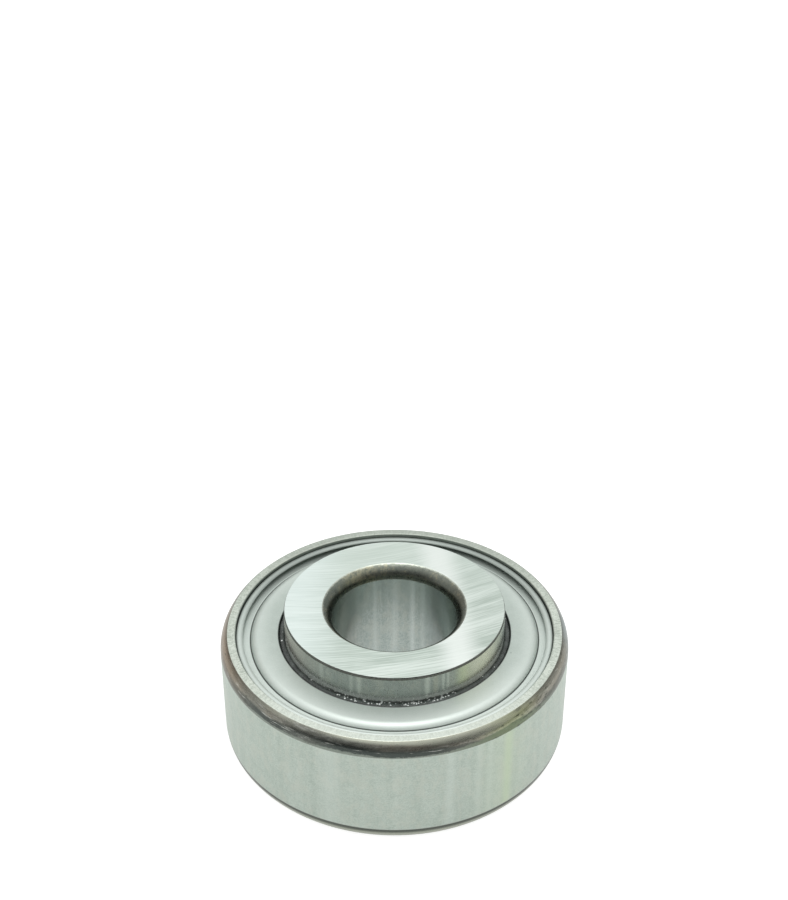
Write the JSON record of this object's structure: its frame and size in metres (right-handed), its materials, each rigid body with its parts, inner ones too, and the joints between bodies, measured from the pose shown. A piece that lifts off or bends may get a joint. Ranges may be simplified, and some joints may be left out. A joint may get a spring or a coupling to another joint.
{
  "type": "sealed ball bearing with extended inner ring",
  "caption": "Sealed single-row ball bearing with a thick outer ring, a longer inner ring that stands out on one side, and a pressed metal cap with a rubber seal at each end.",
  "frame": {"origin": "on the bearing axis, in the plane of the flush side of both rings", "axes": "+Z along the bearing axis, towards the side where the inner ring stands out; +X midway between ball_8 and ball_1"},
  "size_m": [0.0452, 0.0452, 0.0187],
  "materials": {
    "ring_steel": "ground bearing steel with unground corners in brown-black heat scale",
    "cap_sheet": "smooth satin zinc-plated sheet",
    "seal_rubber": "matt black nitrile rubber",
    "cage_plastic": "natural moulded polyamide",
    "ball_steel": "lapped and polished bearing steel"
  },
  "bodies": {
    "outer_race": {"outer_ring": "ring_steel", "upper_cap": "cap_sheet", "upper_seal": "seal_rubber", "lower_cap": "cap_sheet", "lower_seal": "seal_rubber"},
    "inner_race": {"inner_ring": "ring_steel"},
    "cage": {"ball_cage": "cage_plastic"},
    "rolling_ball_1": {"ball_1": "ball_steel"},
    "rolling_ball_2": {"ball_2": "ball_steel"},
    "rolling_ball_3": {"ball_3": "ball_steel"},
    "rolling_ball_4": {"ball_4": "ball_steel"},
    "rolling_ball_5": {"ball_5": "ball_steel"},
    "rolling_ball_6": {"ball_6": "ball_steel"},
    "rolling_ball_7": {"ball_7": "ball_steel"},
    "rolling_ball_8": {"ball_8": "ball_steel"}
  },
  "joints": [
    {"name": "inner_ring_turn", "type": "hinge", "parent": "outer_race", "child": "inner_race", "pos_m": [0, 0, 0.00775], "axis": [0, 0, 1], "continuous": true},
    {"name": "cage_turn", "type": "hinge", "parent": "outer_race", "child": "cage", "pos_m": [0, 0, 0.00775], "axis": [0, 0, 1], "continuous": true},
    {"name": "ball_1_spin", "type": "hinge", "parent": "cage", "child": "rolling_ball_1", "pos_m": [0.01548, 0.00641, 0.00775], "axis": [0, 0, 1], "continuous": true},
    {"name": "ball_2_spin", "type": "hinge", "parent": "cage", "child": "rolling_ball_2", "pos_m": [0.00641, 0.01548, 0.00775], "axis": [0, 0, 1], "continuous": true},
    {"name": "ball_3_spin", "type": "hinge", "parent": "cage", "child": "rolling_ball_3", "pos_m": [-0.00641, 0.01548, 0.00775], "axis": [0, 0, 1], "continuous": true},
    {"name": "ball_4_spin", "type": "hinge", "parent": "cage", "child": "rolling_ball_4", "pos_m": [-0.01548, 0.00641, 0.00775], "axis": [0, 0, 1], "continuous": true},
    {"name": "ball_5_spin", "type": "hinge", "parent": "cage", "child": "rolling_ball_5", "pos_m": [-0.01548, -0.00641, 0.00775], "axis": [0, 0, 1], "continuous": true},
    {"name": "ball_6_spin", "type": "hinge", "parent": "cage", "child": "rolling_ball_6", "pos_m": [-0.00641, -0.01548, 0.00775], "axis": [0, 0, 1], "continuous": true},
    {"name": "ball_7_spin", "type": "hinge", "parent": "cage", "child": "rolling_ball_7", "pos_m": [0.00641, -0.01548, 0.00775], "axis": [0, 0, 1], "continuous": true},
    {"name": "ball_8_spin", "type": "hinge", "parent": "cage", "child": "rolling_ball_8", "pos_m": [0.01548, -0.00641, 0.00775], "axis": [0, 0, 1], "continuous": true}
  ],
  "couplings": [
    {"joint": "cage_turn", "follows": "inner_ring_turn", "ratio": 0.39742},
    {"joint": "ball_1_spin", "follows": "inner_ring_turn", "ratio": -2.3347},
    {"joint": "ball_2_spin", "follows": "inner_ring_turn", "ratio": -2.3347},
    {"joint": "ball_3_spin", "follows": "inner_ring_turn", "ratio": -2.3347},
    {"joint": "ball_4_spin", "follows": "inner_ring_turn", "ratio": -2.3347},
    {"joint": "ball_5_spin", "follows": "inner_ring_turn", "ratio": -2.3347},
    {"joint": "ball_6_spin", "follows": "inner_ring_turn", "ratio": -2.3347},
    {"joint": "ball_7_spin", "follows": "inner_ring_turn", "ratio": -2.3347},
    {"joint": "ball_8_spin", "follows": "inner_ring_turn", "ratio": -2.3347}
  ]
}
